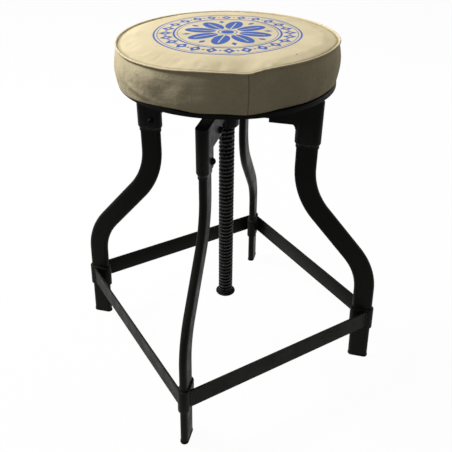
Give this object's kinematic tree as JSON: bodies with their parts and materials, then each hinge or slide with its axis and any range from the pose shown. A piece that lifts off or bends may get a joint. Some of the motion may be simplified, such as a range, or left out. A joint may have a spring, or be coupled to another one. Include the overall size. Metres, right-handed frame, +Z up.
{
  "type": "screw stool",
  "caption": "Height-adjustable workshop stool: a round canvas-covered cushion on a coarse threaded post, in a bent-tube steel base braced by flat foot bars.",
  "frame": {"origin": "on the floor, on the axis of the threaded post, which is the centre of the base", "axes": "+Z up along the post; X and Y along the foot bars, so the legs stand on the diagonals; -Y is called the front"},
  "size_m": [0.3922, 0.3922, 0.5754],
  "materials": {
    "frame_enamel": "satin black enamel on bent steel tube and cast brackets, slightly worn on edges",
    "pan_enamel": "satin black enamel on pressed steel sheet",
    "blackened_steel": "machined steel, blackened and oiled",
    "blackened_fasteners": "black oxide",
    "zinc_hardware": "bright zinc plate, hidden in the seat",
    "foot_plastic": "moulded black glide plug",
    "plywood": "unfinished birch plywood",
    "seat_foam": "open-cell seat foam, hidden by the cover",
    "canvas": "plain-weave natural cotton canvas, printed on its top panel, slightly soiled"
  },
  "bodies": {
    "root": {"hub": "frame_enamel", "bracket_screws": "blackened_fasteners", "leg_front_left": "frame_enamel", "leg_front_right": "frame_enamel", "leg_back_right": "frame_enamel", "leg_back_left": "frame_enamel", "foot_plug_front_left": "foot_plastic", "foot_plug_front_right": "foot_plastic", "foot_plug_back_right": "foot_plastic", "foot_plug_back_left": "foot_plastic", "collar_front_left": "frame_enamel", "collar_front_right": "frame_enamel", "collar_back_right": "frame_enamel", "collar_back_left": "frame_enamel", "bracket_front_left": "frame_enamel", "bracket_front_right": "frame_enamel", "bracket_back_right": "frame_enamel", "bracket_back_left": "frame_enamel", "arm_front_left": "frame_enamel", "arm_front_right": "frame_enamel", "arm_back_right": "frame_enamel", "arm_back_left": "frame_enamel", "foot_bar_front": "frame_enamel", "foot_bar_right": "frame_enamel", "foot_bar_back": "frame_enamel", "foot_bar_left": "frame_enamel"},
    "lift": {"stop_washer": "blackened_steel"},
    "seat": {"screw": "blackened_steel", "stop_bolt": "blackened_fasteners", "seat_flange": "frame_enamel", "cross_pin": "blackened_fasteners", "seat_bolts": "blackened_fasteners", "tee_nuts": "zinc_hardware", "seat_pan": "pan_enamel", "seat_board": "plywood", "foam_pad": "seat_foam", "cover_band": "canvas", "cover_top": "canvas", "welt": "canvas"}
  },
  "joints": [
    {"name": "seat_height", "type": "slide", "parent": "root", "child": "lift", "axis": [0, 0, 1], "range_m": [0, 0.3305]},
    {"name": "seat_turn", "type": "hinge", "parent": "lift", "child": "seat", "pos_m": [0, 0, 0.3], "axis": [0, 0, 1], "range_deg": [0, 17002]}
  ],
  "couplings": [
    {"joint": "seat_turn", "follows": "seat_height", "rad_per_m": 897.6}
  ]
}
